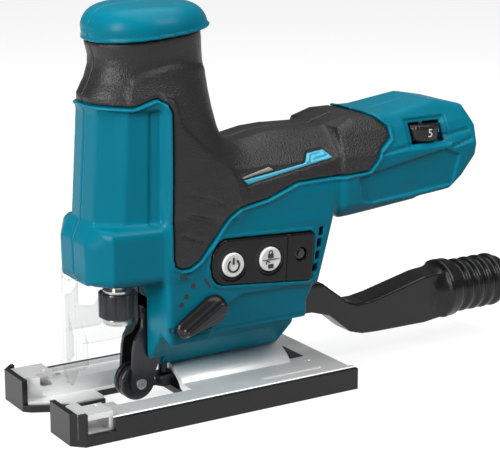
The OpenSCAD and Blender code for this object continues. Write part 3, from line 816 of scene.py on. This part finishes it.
def switch_bezel():
    """Black panel with a shallow seat round each button and a sunk screw."""
    low = (-55, 23.8, 50)
    x, y, z = grid(low, (3, 29.8, 79), 0.4)
    plan = outline(x, z, PANEL_OUTLINE)
    plate = smooth_max(plan + 0.1, y - 28.3, 0.9)
    plate = np.maximum(plate, 25.1 - y)
    for centre in (START_X, LOCK_X):
        around = np.sqrt((x - centre) ** 2 + (z - BUTTON_Z) ** 2)
        dish = np.maximum(around - 7.2, 28.05 - y)
        plate = smooth_max(plate, -dish, 0.5)
        plate = np.maximum(plate, -(around - BUTTON_R - 0.3))
    around = np.sqrt((x - PANEL_SCREW[0]) ** 2 + (z - PANEL_SCREW[1]) ** 2)
    plate = smooth_max(plate, -np.maximum(around - 3.1, 26.4 - y), 0.4)
    plate = np.maximum(plate, -(around - 1.65))
    split = stroke(x, z, [(-38.2, 76), (-37, 52)])
    plate = smooth_max(plate, -np.maximum(split - 0.25, 27.6 - y), 0.3)
    piece = sculpt("switch_bezel", plate, low, 0.4, BLACK_SHINY)
    place(piece, "housing", "black_plastic", "switch_panel")
    px, pz = PANEL_SCREW
    head = prism("panel_screw_head", [circle(px, pz, 2.6)], 26.4, 27.3, DARK_STEEL, 0.3)
    place(head, "housing", "dark_steel")
    cross = [bar(px - 1.4, pz, px + 1.4, pz, 0.5), bar(px, pz - 1.4, px, pz + 1.4, 0.5)]
    place(prism("panel_screw_cross", cross, 27.1, 27.36, INK), "housing", "black_plastic")


def side_marks():
    """Setting marks beside the orbital lever: three bars, a ring, three dots and a slash."""
    rings = {}
    for i in range(3):
        bar_x = 13.4 + 1.25 * i
        rings[f"setting_bar_{i + 1}"] = bar(bar_x, 61.8, bar_x + 0.2, 65.8, 0.75)
    rings["setting_ring"] = arc_band(20.4, 39.9, 1.25, 0.5, 0, 359.9)
    for i, (x, z) in enumerate(((9.9, 58.6), (13.4, 54.2), (15.9, 51))):
        rings[f"setting_dot_{i + 1}"] = circle(x, z, 1.2)
    rings["setting_slash"] = bar(4.2, 60.6, 1.2, 56.4, 1.1)
    for name, points in rings.items():
        centre = np.mean(points, axis=0)
        face = surface_y(*centre)
        place(prism(name, [points], face - 0.5, face + 0.06, INK), "housing", "black_plastic")


def lettering(name, text, size, material):
    """A mesh of raised characters, centred, facing +Z, in metres."""
    curve = bpy.data.curves.new(name, "FONT")
    curve.body = text
    curve.size = size * MM
    curve.extrude = 0.08 * MM
    curve.align_x = "CENTER"
    curve.align_y = "CENTER"
    source = bpy.data.objects.new(name, curve)
    bpy.context.scene.collection.objects.link(source)
    bpy.context.view_layer.update()
    mesh = bpy.data.meshes.new_from_object(source)
    bpy.data.objects.remove(source)
    mesh.materials.clear()
    mesh.materials.append(material)
    return mesh


SHOWN_NUMBER = 5
SHOWN_ANGLE = 88


def dial_numbers():
    """Speed numbers 1 to 5 round the rim of the dial, with 5 in its window."""
    for number in range(1, 6):
        angle = math.radians(SHOWN_ANGLE - (number - SHOWN_NUMBER) * 60)
        mesh = lettering(f"dial_number_{number}", str(number), 5.4, WHITE)
        stand = Matrix.Rotation(angle + math.pi / 2, 4, "Z") @ Matrix.Rotation(math.pi / 2, 4, "X")
        out = Vector((math.cos(angle), math.sin(angle), 0)) * (DIAL_R - 0.02) * MM
        centre = Vector((DIAL_CENTRE[0] * MM, DIAL_CENTRE[1] * MM, DIAL_Z * MM))
        mesh.transform(Matrix.Translation(centre + out) @ stand)
        obj = bpy.data.objects.new(f"dial_number_{number}", mesh)
        bpy.context.scene.collection.objects.link(obj)
        place(obj, "dial", "white_plastic")


# ---------------------------------------------------------------- CAD nodes that stay

BEVELS = {
    "shoe": 0.35,
    "sole_cover": 0.6,
    "retainer": 0.4,
    "roller": 0.2,
    "roller_pin": 0.25,
    "clamp_sleeve": 0.35,
    "blade_holder": 0.2,
    "housing_screws": 0.2,
    "clamp_plate": 0.2,
    "clamp_bolt": 0.2,
    "terminal_block": 0.3,
}


def dress_cad_nodes():
    slots = {part["node"]: part["material_slot"] for part in frame["record"]["subparts"]}
    for name, obj in nodes.items():
        if obj.hide_render:
            continue
        slot = slots[name]
        obj.data.materials.clear()
        obj.data.materials.append(SLOT_MATERIALS[slot])
        if name in BEVELS:
            weld = obj.modifiers.new("join", "WELD")
            weld.merge_threshold = 0.00001
            planes = obj.modifiers.new("planes", "DECIMATE")
            planes.decimate_type = "DISSOLVE"
            planes.angle_limit = math.radians(0.5)
            add_bevel(obj, BEVELS[name])


# ---------------------------------------------------------------- stage


def area_light(name, location, target, size, power):
    light = bpy.data.lights.new(name, "AREA")
    light.shape = "RECTANGLE"
    light.size = size[0]
    light.size_y = size[1]
    light.energy = power
    obj = bpy.data.objects.new(name, light)
    obj.location = location
    obj.rotation_euler = (Vector(target) - Vector(location)).to_track_quat("-Z", "Y").to_euler()
    bpy.context.scene.collection.objects.link(obj)


def stage():
    reach = 4.0
    bm = bmesh.new()
    corners = [(-reach, -reach), (reach, -reach), (reach, reach), (-reach, reach)]
    bm.faces.new([bm.verts.new((x, y, -0.0002)) for x, y in corners])
    mesh = bpy.data.meshes.new("floor")
    bm.to_mesh(mesh)
    bm.free()
    paper = finish_material("floor_paper", (0.32, 0.32, 0.32, 1), 0.8, grain=60, bump=0.0, mottle=0.01)
    glow = paper.node_tree.nodes["Principled BSDF"]
    glow.inputs["Emission Color"].default_value = (1, 1, 1, 1)
    glow.inputs["Emission Strength"].default_value = 0.8
    glow.inputs["Specular IOR Level"].default_value = 0.1
    mesh.materials.append(paper)
    floor = bpy.data.objects.new("floor", mesh)
    bpy.context.scene.collection.objects.link(floor)
    floor.visible_diffuse = False  # the lamps and the sky light the tool, not the floor's own glow
    world = bpy.data.worlds.new("studio")
    world.use_nodes = True
    background = world.node_tree.nodes["Background"]
    background.inputs["Color"].default_value = (0.97, 0.985, 1, 1)
    background.inputs["Strength"].default_value = 0.17
    bpy.context.scene.world = world
    middle = (-0.02, 0, 0.09)
    area_light("overhead", (-0.1, 0.0, 1.0), middle, (1.2, 0.9), 9)
    area_light("front", (1.05, 0.2, 0.5), middle, (0.35, 0.7), 14)
    area_light("side", (-0.35, 0.8, 0.95), middle, (0.5, 0.35), 6)


def camera():
    data = bpy.data.cameras.new("camera")
    data.sensor_width = 36
    data.lens = 119.3
    data.clip_start = 0.01
    data.clip_end = 20
    obj = bpy.data.objects.new("camera", data)
    obj.location = (0.3494, 0.6243, 0.2582)
    azimuth = math.radians(31.67)
    pitch = math.radians(14.15)
    level = math.cos(pitch)
    view = Vector((-math.sin(azimuth) * level, -math.cos(azimuth) * level, -math.sin(pitch)))
    obj.rotation_euler = view.to_track_quat("-Z", "Y").to_euler()
    bpy.context.scene.collection.objects.link(obj)
    bpy.context.scene.camera = obj
    bpy.context.scene.view_settings.view_transform = "Standard"


housing_pieces()
grip_inlays()
dust_nozzle()
orbital_lever()
blade_guard()
speed_dial()
switch_bezel()
push_buttons()
side_marks()
dial_numbers()
dress_cad_nodes()
stage()
camera()

bpy.context.view_layer.update()
